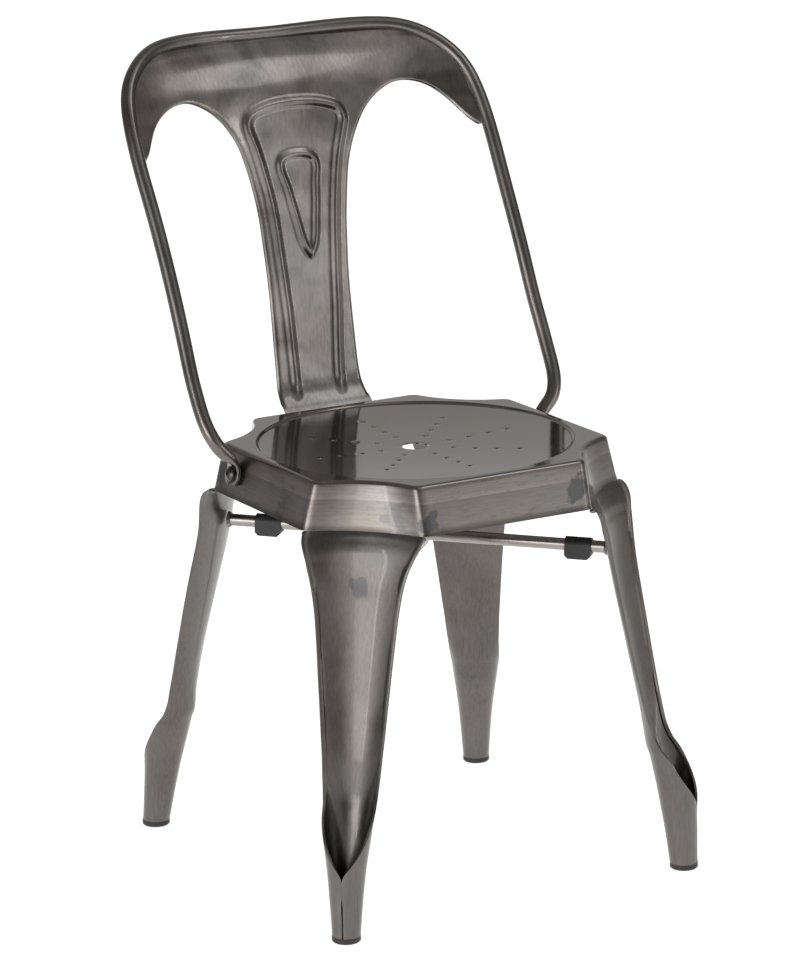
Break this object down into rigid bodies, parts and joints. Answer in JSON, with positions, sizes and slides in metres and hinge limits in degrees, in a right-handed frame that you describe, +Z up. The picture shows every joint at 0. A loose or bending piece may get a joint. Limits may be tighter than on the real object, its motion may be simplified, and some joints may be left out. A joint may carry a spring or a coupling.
{
  "type": "metal bistro chair",
  "caption": "Stackable metal bistro chair with a dished eight sided sheet seat, folded channel legs, crossed braces and a tube hoop back with a pressed splat",
  "frame": {"origin": "on the floor under the middle of the bounding box", "axes": "+Z up, the front of the chair faces -Y, +X to the right seen from the front; the chair is mirrored about the plane x = 0 except for the two brace bars"},
  "size_m": [0.4422, 0.5327, 0.8496],
  "materials": {
    "sheet_steel": "brushed gunmetal steel under clear lacquer",
    "tube_steel": "brushed gunmetal steel tube under clear lacquer",
    "black_rubber": "black, satin",
    "fastener_steel": "dark lacquered hardware",
    "weld_steel": "heat darkened weld"
  },
  "bodies": {
    "root": {"seat_pan": "sheet_steel", "leg_front_left": "sheet_steel", "leg_front_right": "sheet_steel", "leg_rear_left": "sheet_steel", "leg_rear_right": "sheet_steel", "back_hoop": "tube_steel", "back_panel": "sheet_steel", "brace_bar_upper": "tube_steel", "brace_bar_lower": "tube_steel", "foot_cap_front_left": "black_rubber", "foot_cap_front_right": "black_rubber", "foot_cap_rear_left": "black_rubber", "foot_cap_rear_right": "black_rubber", "brace_pad_front_left": "black_rubber", "brace_pad_front_right": "black_rubber", "brace_pad_rear_left": "black_rubber", "brace_pad_rear_right": "black_rubber", "hoop_bolts": "fastener_steel", "hoop_washers": "fastener_steel", "hoop_spacers": "fastener_steel", "hoop_inner_washers": "fastener_steel", "hoop_nuts": "fastener_steel", "splat_rivets": "fastener_steel", "corner_welds": "weld_steel", "brace_collar_front_left": "weld_steel", "brace_collar_front_right": "weld_steel", "brace_collar_rear_left": "weld_steel", "brace_collar_rear_right": "weld_steel"}
  },
  "joints": []
}
